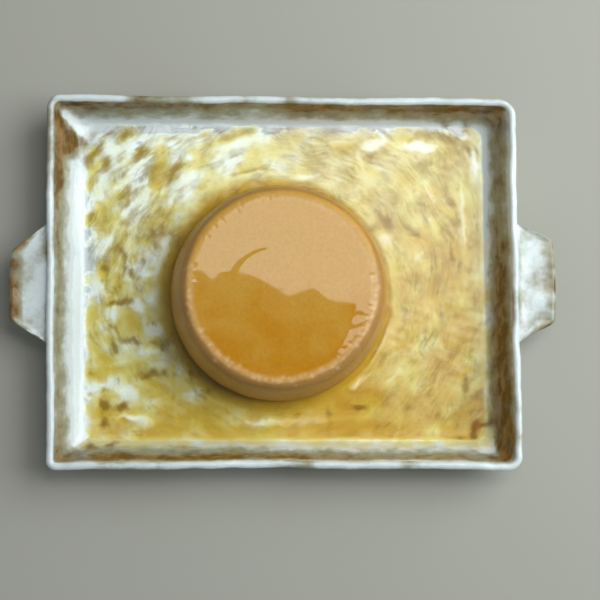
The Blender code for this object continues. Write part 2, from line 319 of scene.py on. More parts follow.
def paint_strokes(x, y, ground, count, seed):
    """Lays strokes one after another over the ground. In a stroke's own frame a point lies p along it and q
    across its bent middle line; within its ragged ends and sides the slip takes the stroke's height, more
    under its bristles and less between them, the bristles being a sum of two sines of q. Returns the
    height, and how much whiter or barer the strokes left each place."""
    draw = np.random.default_rng(seed)
    height = ground.copy()
    white = np.zeros_like(x)
    low, high = (np.array(corner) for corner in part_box("caramel"))
    for _ in range(count):
        middle_x = draw.uniform(low[0] - 4 * MM, high[0] + 4 * MM)
        middle_y = draw.uniform(low[1] - 4 * MM, high[1] + 4 * MM)
        fine = smooth_step((middle_x + 20 * MM) / (50 * MM))  # the right half is swept with finer strokes
        length = draw.uniform(16, 44) * MM * (1 - 0.35 * fine)
        width = draw.uniform(3.2, 8.5) * MM * (1 - 0.35 * fine)
        heading = swept_heading(middle_x, middle_y) + draw.normal(0, 0.34 + 0.10 * fine)
        bend = draw.normal(0, 4.0)
        change = draw.choice([0.36, 0.08, -0.30]) * (1 - 0.15 * fine)
        whiter = draw.choice([0.30, 0.08, -0.26]) * (1 - 0.10 * fine)
        bristle, phase, ragged = draw.uniform(1.6, 2.6) * MM, *draw.uniform(0, 2 * math.pi, 2)
        away_x, away_y = x - middle_x, y - middle_y
        near = np.flatnonzero(np.hypot(away_x, away_y) < length)
        p = away_x[near] * math.cos(heading) + away_y[near] * math.sin(heading)
        q = -away_x[near] * math.sin(heading) + away_y[near] * math.cos(heading) - bend * p * p
        comb = 0.5 + 0.3 * np.sin(2 * math.pi * q / bristle + phase) + 0.2 * np.sin(3.7 * q / bristle + ragged)
        ends = length / 2 - np.abs(p) - 5 * MM * comb
        sides = width / 2 - np.abs(q) + 0.5 * MM * np.sin(p / (4 * MM) + ragged)
        mask = smooth_step(ends / (5 * MM)) * smooth_step(sides / (2.6 * MM))
        held = ground[near] + change
        height[near] += (held - height[near]) * mask * (0.35 + 0.55 * comb)
        white[near] += (whiter - white[near]) * mask * (0.25 + 0.65 * comb)
    return height, white


def patches(x, y, rows, soft=1.5):
    """Sum of ovals with wandering edges, each as high as its depth in its middle and falling off as
    exp(-(r^2)^soft), r being 1 on its edge."""
    total = np.zeros_like(x)
    wander_x = 0.8 * MM * swell(x, y, 11 * MM, 31)
    wander_y = 0.8 * MM * swell(x, y, 11 * MM, 32)
    for middle_x, middle_y, along, across, heading, depth in rows:
        turned = math.radians(heading)
        away_x = x - middle_x * MM + wander_x
        away_y = y - middle_y * MM + wander_y
        p = (away_x * math.cos(turned) + away_y * math.sin(turned)) / ((along + 0.6) * MM)
        q = (-away_x * math.sin(turned) + away_y * math.cos(turned)) / ((across + 0.6) * MM)
        total += depth * np.exp(-((p * p + q * q) ** soft))
    return total


# The slip lies thinner toward the front and the right, where the caramel stands deeper over it.
syrup_level = 7.7 * MM
slip_height = 1.60 * MM
right_share = smooth_step((inside_x + 30 * MM) / (70 * MM))
ground = 0.73 + 0.7 * inside_y - 1.1 * inside_x
ground = ground - 0.03 * smooth_step(-inside_y / (60 * MM))
ground = ground - (0.22 - 0.12 * right_share) * smooth_step((-inside_y - 72 * MM) / (30 * MM))
ground = ground + (0.16 * (1 - right_share) + 0.06) * swell(inside_x, inside_y, 26 * MM, 21)
front_middle = smooth_step((-inside_y - 60 * MM) / (25 * MM)) * smooth_step((inside_x + 75 * MM) / (30 * MM))
ground = ground - 0.12 * front_middle * smooth_step((75 * MM - inside_x) / (30 * MM))
ground = ground + 0.10 * smooth_step((inside_x - 60 * MM) / (30 * MM)) * smooth_step((-inside_y - 10 * MM) / (40 * MM))
ground = ground - 0.06 * smooth_step((inside_x - 60 * MM) / (30 * MM)) * np.exp(-((inside_y / (50 * MM)) ** 4))
ground = ground + 0.06 * smooth_step((-inside_x - 40 * MM) / (30 * MM)) * smooth_step((inside_y - 20 * MM) / (30 * MM))
relief, white = paint_strokes(inside_x, inside_y, ground, count=700, seed=11)

# x, y, half-size along, half-size across, heading in degrees, depth: where the clay was left lower the
# caramel stands deeper, where the brush skipped the clay shows, and a few strokes stand out white.
# Some white strokes are partly painted sheen: the long one under the pudding at (-4, -92) and the one at
# (48, -66) stand in for pale highlights on the wet syrup.
hollows = (
    (-103, 101, 7, 6.0, 0, 0.5), (-82, 77, 16, 6.4, 85, 0.6), (-123, 43, 9, 8.0, 5, 0.6),
    (-101, 33, 10, 10.7, 4, 0.45), (-128, 69, 11, 3.7, 87, 0.6), (-107, 65, 6, 4.4, 44, 0.4),
    (-113, 0, 9, 8.7, 0, 0.5), (-105, -26, 9, 9.4, 2, 0.4), (-128, -25, 16, 3.4, -88, 0.5),
    (-104, -56, 16, 6.0, -10, 0.4), (-81, -71, 16, 6.0, 0, 0.4), (-62, -86, 27, 6.7, -1, 0.5),
    (-39, -97, 50, 4.0, 0, 0.3), (47, -77, 19, 8.0, 4, 0.7), (48, -96, 30, 4.7, 0, 0.3),
    (-76, 47, 13, 4.7, 22, 0.4), (96, 103, 8, 2.3, 8, 0.4), (43, 93, 10, 3.4, 5, 0.3),
    (-120, -86, 7, 4.0, -47, 0.4),
)
dabs = (
    (-119, 82, 6, 2.7, 88, 1.0), (-127, 88, 10, 2.0, 59, 0.8), (-71, 80, 3, 1.3, 24, 0.7),
    (-88, 35, 2, 2.7, 27, 0.8), (-81, 37, 2, 2.0, 32, 0.5), (-108, 22, 6, 1.7, -56, 0.7),
    (-102, 7, 5, 1.7, -48, 0.6), (-94, 15, 2, 1.7, -51, 0.5), (-119, 11, 3, 1.7, -30, 0.4),
    (-113, -13, 5, 2.0, 7, 0.7), (-104, -11, 6, 2.0, 0, 0.7), (-112, -31, 6, 1.7, -54, 0.7),
    (-101, -38, 8, 1.7, -7, 0.6), (-113, -42, 4, 1.7, -32, 0.5), (-89, -26, 3, 2.0, -78, 0.4),
    (-88, -39, 3, 1.7, -6, 0.4), (-79, -41, 3, 2.0, -53, 0.4), (-89, -60, 6, 2.3, 13, 0.6),
    (-79, -58, 2, 1.3, 8, 0.5), (-120, -81, 4, 3.0, -80, 1.0), (-108, -82, 4, 2.3, 9, 1.0),
    (-120, -92, 2, 2.7, 0, 0.8), (-51, -71, 4, 3.0, 49, 0.5), (-59, -60, 4, 2.7, 25, 0.4),
    (-128, -108, 2, 2.2, 10, 0.6), (-115, -107, 4, 1.6, 17, 0.6), (-119, -69, 2, 1.3, -74, 0.4),
    (-111, -66, 3, 1.3, -60, 0.4), (112, 110, 3, 1.6, 6, 0.7), (126, 109, 3, 2.2, -55, 0.7),
    (110, 102, 11, 1.7, -26, 0.5), (125, 95, 3, 2.0, 7, 0.4), (70, 44, 7, 2.0, -53, 0.6),
    (89, 36, 6, 1.7, -43, 0.6), (114, 58, 8, 1.7, -66, 0.6), (117, 44, 3, 1.7, -58, 0.4),
    (59, 88, 3, 2.0, 15, 0.4), (62, 39, 3, 1.3, 7, 0.4), (122, -67, 5, 1.7, 90, 0.6),
    (50, -82, 5, 1.7, 8, 0.9), (30, -87, 4, 2.3, -86, 0.5), (72, -20, 5, 1.7, -86, 0.4),
    (97, -37, 6, 1.3, 60, 0.4), (112, -44, 4, 1.7, -59, 0.3), (83, -82, 3, 2.3, 35, 0.4),
    (128, -97, 6, 1.5, 76, 1.3), (134, -93, 6, 1.4, 14, 0.9), (117, -103, 6, 1.2, 2, 0.6), (-107, 60, 4, 1.7, 46, 0.3), (-93, 67, 5, 1.3, 46, 0.5),
    (-97, 88, 5, 1.3, 31, 0.5), (-70, 23, 8, 2.0, -82, 0.3), (-74, 99, 6, 1.7, 7, 0.4),
)
# white strokes, partly painted sheen where they stand in for pale highlights on the syrup
whites_and_sheen = (
    (-102, 95, 18, 3.0, 24, 0.5), (-114, 92, 4, 4.0, -41, 0.5), (-107, 69, 13, 1.7, 50, 0.3),
    (-95, 81, 9, 2.3, 35, 0.5), (-100, 54, 11, 1.5, 43, 0.5), (-122, 58, 4, 2.3, -63, 0.4),
    (-83, 15, 15, 3.7, 72, 0.5), (-91, 6, 3, 2.7, 37, 0.5), (-65, 72, 8, 2.3, 42, 0.2),
    (-122, 106, 11, 2.7, 1, 0.4), (-107, -71, 8, 4.4, -28, 0.5), (-126, -71, 5, 3.0, -59, 0.4),
    (-104, -89, 9, 1.7, -2, 0.6), (-89, -45, 7, 2.7, 6, 0.3), (-85, -31, 8, 3.0, 31, 0.3),
    (-4, -92, 32, 2.6, 3, 0.42), (63, 96, 7, 3.0, 17, 0.4), (92, 95, 10, 2.3, -7, 0.6),
    (47, 108, 6, 2.7, 1, 0.4), (102, 109, 7, 2.0, -21, 0.4), (120, 105, 9, 2.0, -28, 0.5),
    (131, 81, 10, 2.7, -88, 0.4), (70, 31, 5, 4.7, 0, 0.3), (48, -66, 7, 1.7, 36, 0.5),
    (122, 44, 28, 1.0, -89, 0.3), (-76, 104, 8, 3.0, -17, 0.3), (-34, 96, 19, 2.3, 15, 0.3),
)
hollow = patches(inside_x, inside_y, hollows)
bare = (1.0 - 0.4 * right_share) * patches(inside_x, inside_y, dabs, soft=0.9)
stroked_and_sheen = patches(inside_x, inside_y, whites_and_sheen)
pudding_far = np.hypot(inside_x - pudding_middle[0], inside_y - pudding_middle[1]) - 72.5 * MM
foot_turn = np.degrees(np.arctan2(inside_y - pudding_middle[1], inside_x - pudding_middle[0])) % 360
foot_turns = np.arange(0, 361, 30)  # no slip stands beside the pudding's foot: how wide that ring is at each turn
foot_widths = (2.6, 3.0, 4.2, 5.4, 8.0, 8.0, 8.0, 8.5, 8.5, 6.5, 6.0, 2.6, 2.6)
round_foot = np.exp(-(np.maximum(pudding_far, 0) / (np.interp(foot_turn, foot_turns, foot_widths) * MM)) ** 3)
foot_crest_and_sheen = np.exp(-(((pudding_far - 4.0 * MM) / (0.9 * MM)) ** 2))  # but a crest of it lies round the right of it, raised and painted whiter: partly a real white ridge, partly a painted highlight line
foot_crest_and_sheen = foot_crest_and_sheen * smooth_step((foot_turn - 298) / 12) * smooth_step((352 - foot_turn) / 16)
beside_crest = np.exp(-(((pudding_far - 6.0 * MM) / (4.0 * MM)) ** 2)) * np.exp(-(((foot_turn + 160) % 360 - 180) / 40) ** 2)
back_left = smooth_step((-inside_x - 50 * MM) / (40 * MM)) * smooth_step((inside_y + 20 * MM) / (60 * MM))
relief = np.clip(relief - hollow * (1 - 0.25 * back_left) - 0.25 * bare + stroked_and_sheen + 0.3 * foot_crest_and_sheen - 0.95 * round_foot, 0.02, 0.98)
floor_slip = 0.76 - 0.9 * inside_y - 0.10 * right_share - 0.13 * back_left + white * (1 - 0.5 * np.clip(hollow, 0, 1))
floor_slip = floor_slip + 0.8 * stroked_and_sheen + 0.3 * foot_crest_and_sheen + 0.14 * beside_crest - 0.9 * bare + (0.14 - 0.20 * np.exp(-(((foot_turn - 90) / 50) ** 2))) * round_foot
floor_slip = floor_slip + (0.26 * (1 - right_share) + 0.20 * back_left) * (0.61 - floor_slip)
floor_slip = floor_slip + 0.05 * smooth_step((inside_x - 30 * MM) / (30 * MM)) * smooth_step((inside_y - 40 * MM) / (30 * MM))
floor_slip = floor_slip - 0.06 * smooth_step((inside_x - 60 * MM) / (30 * MM)) * smooth_step((-inside_y - 10 * MM) / (40 * MM))

# On the walls the brush ran along them and was pressed harder toward the rim: how much slip it left at
# each level, from the floor to the rim, and how that changes from one end of a wall to the other.
# These tables also paint light and shade. The left wall's slip above 1 low down makes its strip whiter as
# a painted highlight. The thin slip toward the rim of the right and back walls paints their shade.
wall_levels = (0.0, 0.15, 0.3, 0.45, 0.6, 0.75, 0.9, 1.0)
wall_slip_and_shading = {
    "left": (0.85, 1.12, 1.25, 1.15, 0.68, 0.43, 0.24, 0.42),
    "right": (0.95, 0.85, 0.60, 0.33, 0.08, 0.03, 0.22, 0.60),
    "front": (0.85, 0.95, 0.90, 0.62, 0.42, 0.20, 0.14, 0.72),
    "back": (1.00, 1.00, 0.90, 0.62, 0.48, 0.40, 0.12, 0.14),
}
wall_ends = (-0.95, -0.5, 0.0, 0.5, 0.95)
wall_change = {
    "left": (-0.15, 0.05, 0.05, 0.0, -0.40),
    "right": (-0.08, -0.05, 0.04, 0.25, 0.14),
    "front": (-0.12, -0.05, 0.04, 0.13, -0.04),
    "back": (-0.12, -0.02, 0.05, -0.07, -0.22),
}
share_x, share_y = inside_x / (rim_length / 2), inside_y / (rim_width / 2)


def wall_cover(side, along):
    """Slip on one wall, its painted light and shade included: its value for the level plus its change along the wall.
    """
    by_level = np.interp(inside_level, wall_levels, wall_slip_and_shading[side])
    return by_level + np.interp(along, wall_ends, wall_change[side])


is_x_side = level_x >= level_y
x_share = smooth_step(0.5 + (level_x - level_y) / 0.5)  # the walls blend round the corners
walls = x_share * np.where(inside_x < 0, wall_cover("left", share_y), wall_cover("right", share_y))
walls += (1 - x_share) * np.where(inside_y < 0, wall_cover("front", share_x), wall_cover("back", share_x))
wall_marks = (  # clay left bare at the back left corner, with a white stroke over it, and a white corner
    (-141, 96, 11, 5, 50, -0.6), (-136, 86, 7, 5, -30, -0.5), (-134, 96, 7, 4.5, 0, -0.7), (-150, 70, 22, 2.5, 90, -0.3),
    (-139, 108, 13, 3.2, -40, 0.9), (136, -106, 8, 5, 50, 0.6), (147, -102, 12, 4.5, 85, -0.5),
    (-40, -118, 60, 3, 0, -0.15), (90, 118, 40, 3, 0, -0.2), (20, 117, 20, 3, 0, -0.2),
)
walls = walls + patches(inside_x, inside_y, wall_marks) - 0.9 * bare
up_wall = smooth_step(inside_level / 0.22)
# The slip here also carries painted light and shade: the walls' painted highlight strip and painted shade, and the
# painted sheen of some white strokes on the floor.
slip = floor_slip * (1 - up_wall) + walls * up_wall

# A film of caramel has dried on the foot of the front wall and of the front half of the right wall, and
# the slip under the syrup is stained by it round the pudding's foot, at the right and at the front.
smear = np.where(
    is_x_side, (inside_x > 0) * smooth_step(0.6 - share_y), (inside_y < 0) * (1.5 - 0.95 * np.exp(-((share_x / 0.3) ** 2)))
)
smear = smear * smooth_step((0.62 - inside_level) / 0.35) * (0.8 + 0.5 * swell(inside_x, inside_y, 30 * MM, 8))
smear = smear * up_wall + 0.8 * round_foot
stain = right_share * (0.48 + 0.50 * smooth_step((70 * MM - inside_y) / (60 * MM)))
stain = (1 - up_wall) * (stain + 0.6 * smooth_step((-60 * MM - inside_y) / (40 * MM)))
stain = np.clip(stain * (0.75 + 0.35 * swell(inside_x, inside_y, 34 * MM, 9)), 0, 1) * (1 - 0.8 * round_foot) * (1 - 0.5 * beside_crest)

# The fine lines of the bristles run round the pudding on the floor and along the walls: each grain is a
# place in a noise that is stretched 5 to 1, its third number being the one across the lines.
far = np.hypot(inside_x - pudding_middle[0], inside_y - pudding_middle[1])
far_wavy = far + 2.5 * MM * swell(inside_x, inside_y, 45 * MM, 13)
swept = np.stack([
    90 * MM * (inside_x - pudding_middle[0]) / far,
    90 * MM * (inside_y - pudding_middle[1]) / far,
    far_wavy,
], axis=-1)
grain = np.stack([inside_x, inside_y, inside_level * 13 * MM], axis=-1)

# The slip's surface runs level until the rising wall comes through it: z is the softened higher of the
# two, which is half their sum plus half the root of their difference squared and a small length squared.
inside = np.stack([inside_x, inside_y, wall_height(inside_level)], axis=-1)
slip_z = floor_thickness + relief * slip_height * (1 - smooth_step((inside_level - 0.12) / 0.3))
apart = inside[:, 2] - slip_z
fillet = np.where(inside_y > 95 * MM, 1.5, 0.8) + 0.22 * swell(inside_x, inside_y, 22 * MM, 12)
fillet = fillet * MM * smooth_step((inside_level + 0.7) / 0.5)
inside[:, 2] = (inside[:, 2] + slip_z + np.sqrt(apart**2 + np.maximum(fillet, 0.2 * MM) ** 2)) / 2
under_syrup = smooth_step((syrup_level - inside[:, 2]) / (0.08 * MM))

# The perimeter of the grid goes once round; every loop of the outside has as many points.
perimeter = np.concatenate((numbers[0, :-1], numbers[:-1, -1], numbers[-1, :0:-1], numbers[:0:-1, 0]))
edge_x, edge_y = flat_x[perimeter], flat_y[perimeter]
on_x_side = level_x[perimeter] >= level_y[perimeter]


def outside_loop(level, outward, height, tab_share=0.0, tab_height=0.0):
    """One loop round the outside: the rim's rectangle scaled to the level's, rounded, and moved out by the
    tabs' reach times tab_share. There its height passes over to the tab's own."""
    level = np.full(edge_x.shape, float(level))
    rim_x, rim_y, _ = reaches(edge_x, edge_y, np.ones_like(level))
    reach_x, reach_y, radius = reaches(edge_x, edge_y, level, outward)
    loop_x, loop_y = rounded(
        edge_x / rim_x * reach_x, edge_y / rim_y * reach_y, level, on_x_side, reach_x, reach_y, radius
    )
    loop_z = np.full(edge_x.shape, float(height))
    for tab in tabs:
        off_middle = np.abs(loop_y - tab["middle"])
        in_front = loop_y < tab["middle"]
        half_length = np.where(in_front, tab["front"][0], tab["back"][0])
        shoulder = np.where(in_front, tab["front"][1], tab["back"][1])
        fade = smooth_step((half_length + shoulder / 2 - off_middle) / shoulder)
        crown = (1.06 - 0.06 * (off_middle / half_length) ** 2) / 1.06
        here = on_x_side & (np.sign(edge_x) == tab["side"])
        reach = (tab_reach + tab_root / 2) * fade * crown - tab_root / 2
        reach = np.where(here, np.maximum(reach + rim_length / 2 - np.abs(loop_x), 0), 0)
        loop_x = loop_x + tab["side"] * reach * tab_share
        blend = np.clip(reach / (6 * MM), 0, 1) * (tab_share > 0 or tab_height > 0)
        hollow_top = tab_dip * math.sin(math.pi * min(tab_share, 1.0)) * (tab_height > tab_top - 1e-6)
        loop_z = loop_z + blend * (tab_height - hollow_top - loop_z)
    return np.stack([loop_x, loop_y, loop_z], axis=-1)


outer_loops = [outside_loop(*wall_face(share)) for share in np.linspace(0, 0.84, 11)]
tab_low, tab_half = tab_top - tab_thickness, tab_thickness / 2
tip_share = tab_half / tab_reach
tip_turn = np.linspace(-math.pi / 2, math.pi / 2, 8)
under_share = np.array([0.0, 0.06, 0.14, 0.28, 0.5, 0.72])
tab_shares = np.concatenate((under_share * (1 - tip_share), 1 - tip_share + tip_share * np.cos(tip_turn),
                             under_share[::-1] * (1 - tip_share)))
tab_heights = np.concatenate((
    tab_low - 2.2 * MM * np.exp(-under_share * tab_reach / (2.2 * MM)),
    tab_top - tab_half + tab_half * np.sin(tip_turn),
    np.full(len(under_share), tab_top),
))
for number, (share, height) in enumerate(zip(tab_shares, tab_heights)):
    band = 0.84 + (number + 1) / len(tab_shares) * 0.16
    outer_loops.append(outside_loop(*wall_face(band), share, height))
for turn in np.linspace(0, math.pi, 9)[:-1]:
    radius = rim_thickness / 2
    outer_loops.append(
        outside_loop(1.0, radius * (1 + math.cos(turn)), rim_height - radius + radius * math.sin(turn))
    )

outside = np.concatenate(outer_loops)
shell = by_hand(np.concatenate((inside, outside)))
start = len(inside)
ring = len(perimeter)
loop_numbers = start + np.arange(len(outside)).reshape(-1, ring)
rows = np.concatenate((loop_numbers, perimeter[None]))
outer_quads = np.concatenate([quads_between(low, high) for low, high in zip(rows, rows[1:])])
base_face = loop_numbers[0][::-1][None]

outside_height = outside[:, 2]
rim_level = np.clip((outside_height - (rim_height - 2.5 * MM)) / (2.5 * MM), 0, 1)
outside_slip = 0.60 + 0.26 * rim_level + 0.20 * swell(outside[:, 0], outside[:, 1], 70 * MM, 71)
past_rim = np.abs(outside[:, 0]) - rim_length / 2
on_tab = smooth_step(past_rim / (3 * MM)) * (outside_height > tab_low - 1 * MM)
tab_slip = np.where(outside[:, 0] < 0, 0.68, 0.64) + 0.10 * swell(outside[:, 0], outside[:, 1], 30 * MM, 72)
loop_share = np.concatenate((np.zeros(11), tab_shares, np.zeros(8)))
worn_edge = smooth_step((np.repeat(loop_share, ring) - 0.83) / 0.07) * (outside_height > tab_low + 1 * MM)
worn_edge = worn_edge * np.where(outside[:, 0] < 0, 0.75, 0.35) * smooth_step(past_rim / (6 * MM))
outside_slip += on_tab * (tab_slip - outside_slip) - worn_edge * (0.7 + 0.6 * swell(outside[:, 0], outside[:, 1], 25 * MM, 73))
outside_slip -= 0.30 * np.exp(-(((outside[:, 0] + 110 * MM) / (60 * MM)) ** 2)) * (outside[:, 1] > 60 * MM)
outside_slip -= 0.60 * smooth_step((1.5 * MM - outside_height) / (1.5 * MM))  # the base was wiped clean
dish = mesh_piece(
    "stoneware_dish",
    shell,
    (inside_quads, outer_quads, base_face),
    slip=np.concatenate((slip, outside_slip)),
    smear=np.concatenate((np.clip(smear, 0, 1), np.zeros(len(outside)))),
    stain=np.concatenate((stain, np.zeros(len(outside)))),
    under_syrup=np.concatenate((under_syrup, np.zeros(len(outside)))),
    grain=np.concatenate((grain, outside)),
    swept=np.concatenate((swept, outside)),
    on_floor=np.concatenate((1 - up_wall, np.zeros(len(outside)))),
)


class Nodes:
    """Short names for building a material: add makes a node with its settings, link joins two sockets."""

    def __init__(self, name):
        self.material = bpy.data.materials.new(name)
        self.material.use_nodes = True
        self.tree = self.material.node_tree
        self.shader = self.tree.nodes["Principled BSDF"]

    def add(self, kind, inputs=(), **settings):
        node = self.tree.nodes.new("ShaderNode" + kind)
        for setting, value in settings.items():
            setattr(node, setting, value)
        for socket, value in dict(inputs).items():
            if isinstance(value, bpy.types.NodeSocket):
                self.tree.links.new(value, node.inputs[socket])
            else:
                node.inputs[socket].default_value = value
        return node

    def link(self, source, socket):
        self.tree.links.new(source, self.shader.inputs[socket])

    def noise(self, vector, scale, detail=3.0, roughness=0.55):
        return self.add(
            "TexNoise", {"Vector": vector, "Scale": scale, "Detail": detail, "Roughness": roughness}
        ).outputs["Fac"]

    def stretched(self, vector, scale):
        return self.add("Mapping", {"Vector": vector, "Scale": scale}).outputs["Vector"]

    def math(self, operation, first, second=0.0, clamp=False):
        return self.add("Math", {0: first, 1: second}, operation=operation, use_clamp=clamp).outputs[0]

    def between(self, value, low, high, to_low=0.0, to_high=1.0):
        return self.add(
            "MapRange", {0: value, 1: low, 2: high, 3: to_low, 4: to_high}, interpolation_type="SMOOTHSTEP"
        ).outputs[0]

    def mix(self, share, first, second, how="MIX"):
        node = self.add("Mix", data_type="RGBA", blend_type=how)
        for index, value in ((0, share), (6, first), (7, second)):
            if isinstance(value, bpy.types.NodeSocket):
                self.tree.links.new(value, node.inputs[index])
            elif index:
                node.inputs[index].default_value = (*value, 1.0)
            else:
                node.inputs[index].default_value = value
        return node.outputs[2]


def stoneware_material():
    """Clay, thin slip and thick slip mixed by how much slip lies at a place, give or take the bristles'
    grain and soft blotches, with specks of iron and a gloss over all. The amount of slip also carries
    painted light and shade: the walls' painted highlight and shade, and painted sheen on some floor strokes."""
    dark_clay, wet_clay, wet_thin = (0.14, 0.075, 0.016), (0.36, 0.20, 0.045), (0.36, 0.32, 0.18)
    clay, thin, thick, film = (0.28, 0.158, 0.044), (0.33, 0.32, 0.21), (0.73, 0.80, 0.79), (0.91, 0.76, 0.38)
    heavy, wetted, stained = (0.86, 0.94, 0.92), (0.95, 0.95, 0.95), (0.88, 0.68, 0.52)
    n = Nodes("slipped_stoneware")
    place = n.add("TexCoord").outputs["Object"]
    cover_at = n.add("Attribute", attribute_name="slip").outputs["Fac"]
    on_walls, on_floor = (
        n.noise(n.stretched(n.add("Attribute", attribute_name=name).outputs["Vector"], (90, 90, 480)), 1.0, 3.0, 0.6)
        for name in ("grain", "swept")
    )
    floor_at = n.add("Attribute", attribute_name="on_floor").outputs["Fac"]
    bristles = n.math("ADD", on_walls, n.math("MULTIPLY", floor_at, n.math("SUBTRACT", on_floor, on_walls)))
    blotches = n.noise(place, 70.0, 4.0, 0.6)
    specks = n.noise(place, 900.0, 2.0, 0.6)
    stain_at = n.add("Attribute", attribute_name="stain").outputs["Fac"]
    line_strength = n.between(stain_at, 0.0, 1.0, 0.47, 0.28)  # the stained slip lies smoother
    cover = n.math("ADD", cover_at, n.math("MULTIPLY", n.math("SUBTRACT", bristles, 0.5), line_strength))
    cover = n.math("ADD", cover, n.math("MULTIPLY", n.math("SUBTRACT", blotches, 0.5), 0.7))
    clay_colour = n.mix(floor_at, n.mix(n.between(bristles, 0.40, 0.62), dark_clay, clay), wet_clay)
    colour = n.mix(n.between(cover, 0.0, 0.42), clay_colour, n.mix(floor_at, thin, wet_thin))
    colour = n.mix(n.between(cover, 0.34, 0.80), colour, thick)
    colour = n.mix(n.between(cover, 0.92, 1.12), colour, heavy)
    colour = n.mix(n.math("MULTIPLY", n.between(specks, 0.62, 0.72), 0.2), colour, clay)
    smear_at = n.add("Attribute", attribute_name="smear").outputs["Fac"]
    under_at = n.add("Attribute", attribute_name="under_syrup").outputs["Fac"]
    colour = n.mix(smear_at, colour, film, "MULTIPLY")
    colour = n.mix(stain_at, colour, stained, "MULTIPLY")
    colour = n.mix(under_at, colour, wetted, "MULTIPLY")
    n.link(colour, "Base Color")
    gloss = n.between(bristles, 0.3, 0.7, 0.10, 0.20)
    n.link(n.math("MAXIMUM", gloss, n.math("MULTIPLY", under_at, 0.9)), "Roughness")
    n.shader.inputs["IOR"].default_value = 1.5
    bump_height = n.math("ADD", bristles, n.math("MULTIPLY", blotches, 0.5))
    bump = n.add("Bump", {"Height": bump_height, "Strength": 0.5, "Distance": 0.0004})
    n.link(bump.outputs["Normal"], "Normal")
    return n.material


dish.data.materials.append(stoneware_material())
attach(dish, "root")
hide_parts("dish")

# ---------------------------------------------------------------- caramel
# Thin amber syrup that has run off the pudding and found its level on the uneven floor. It climbs a
# little up the pudding's foot, and its outer edge rounds off against the dish.
pool_low, pool_high = (np.array(corner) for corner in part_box("caramel"))
pool_level = syrup_level
shore_round = 4.0 * MM
climb, climb_width = 0.48 * MM, 4.0 * MM
foot_radius = 72.5 * MM
pool_around, pool_across = 720, 46


def pool_outline(count):
    """The shore at an even step round the dish: the rounded rectangle at the level where the wall rises
    through the syrup, moved a little into the wall."""
    level = ((pool_level - floor_thickness) / (rim_height - rim_thickness / 2 - floor_thickness)) ** (1 / wall_power)
    into_wall = 1.5 * MM
    turn = np.linspace(0, 2 * math.pi, count, endpoint=False)
    run_x = np.where(np.cos(turn) < 0, wall_run["left"], wall_run["right"])
    run_y = np.where(np.sin(turn) < 0, wall_run["front"], wall_run["back"])
    half_x = side_at(level, rim_length / 2, run_x) + into_wall
    half_y = side_at(level, rim_width / 2, run_y) + into_wall
    power = 22.0
    reach = (np.abs(np.cos(turn) / half_x) ** power + np.abs(np.sin(turn) / half_y) ** power) ** (-1 / power)
    x, y = reach * np.cos(turn), reach * np.sin(turn)
    return np.stack([x - skew * y, y], axis=-1) + middle_shift[:2]


shore = pool_outline(pool_around)
toward = shore - pudding_middle[:2]
foot = pudding_middle[:2] + toward / np.linalg.norm(toward, axis=1)[:, None] * (foot_radius - 0.6 * MM)
spread = np.linspace(0, 1, pool_across)
spread = spread - 0.12 * np.sin(2 * math.pi * spread)  # closer together at both ends
rows_xy = shore[None] + (foot - shore)[None] * spread[:, None, None]
from_shore = np.linalg.norm(rows_xy - shore[None], axis=-1)
from_foot = np.linalg.norm(rows_xy - pudding_middle[:2], axis=-1) - foot_radius
edge_drop = 1 - np.sqrt(1 - (1 - np.clip(from_shore / shore_round, 0, 1)) ** 2)
top_z = pool_level - 0.03 * MM - edge_drop * 0.15 * MM
top_z = top_z + climb * np.exp(-np.maximum(from_foot, 0) / climb_width)
top_z = top_z + 0.05 * MM * swell(rows_xy[..., 0], rows_xy[..., 1], 16 * MM, 43, octaves=2)
pool_top = np.concatenate((rows_xy, top_z[..., None]), axis=-1)
pool_bottom = np.stack([pool_top[-1], pool_top[0]])
pool_bottom[..., 2] = floor_thickness - 1.2 * MM
pool_points = np.concatenate((pool_top, pool_bottom)).reshape(-1, 3)
pool_numbers = np.arange(len(pool_points)).reshape(-1, pool_around)
pool_rows = np.concatenate((pool_numbers, pool_numbers[:1]))
pool_quads = np.concatenate([quads_between(low, high) for low, high in zip(pool_rows, pool_rows[1:])])
pool = mesh_piece("caramel_pool", pool_points, (pool_quads,))


def syrup_material():
    """Clear amber: a smooth glass of the syrup's index, with the colour from what its depth takes away.
    Light on its way to the floor passes straight through the surface."""
    n = Nodes("amber_syrup")
    n.shader.inputs["Base Color"].default_value = (1, 1, 1, 1)
    n.shader.inputs["Roughness"].default_value = 0.17
    n.shader.inputs["IOR"].default_value = 1.45
    n.shader.inputs["Transmission Weight"].default_value = 1.0
    place = n.add("TexCoord").outputs["Object"]
    ripples = n.noise(place, 160.0, 2.0)
    bump = n.add("Bump", {"Height": ripples, "Strength": 0.14, "Distance": 0.0004})
    n.link(bump.outputs["Normal"], "Normal")
    clear = n.add("BsdfTransparent", {"Color": (1, 1, 1, 1)})
    lit_through = n.add("LightPath").outputs["Is Shadow Ray"]
    both = n.add("MixShader", {0: lit_through})
    n.tree.links.new(n.shader.outputs[0], both.inputs[1])
    n.tree.links.new(clear.outputs[0], both.inputs[2])
    depth = n.add("VolumeAbsorption", {"Color": (0.91, 0.785, 0.0, 1), "Density": 800.0})
    output = n.tree.nodes["Material Output"]
    n.tree.links.new(both.outputs[0], output.inputs["Surface"])
    n.tree.links.new(depth.outputs[0], output.inputs["Volume"])
    return n.material


pool.data.materials.append(syrup_material())
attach(pool, "root")
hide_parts("caramel")

# ---------------------------------------------------------------- pudding
# Baked custard turned out of a plain round mould: a firm, fine-pored side, a soft shoulder full of small
# pits, and a top soaked with caramel, wet and almost flat, a little sunk in the middle.
pudding_low, pudding_high = (np.array(corner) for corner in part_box("pudding"))
pudding_top = pudding_high[2]
base_radius, top_radius = 72.5 * MM, 66 * MM
foot_round, shoulder_round = 2 * MM, 7 * MM
belly, sink = 0.9 * MM, 0.15 * MM
around = 640


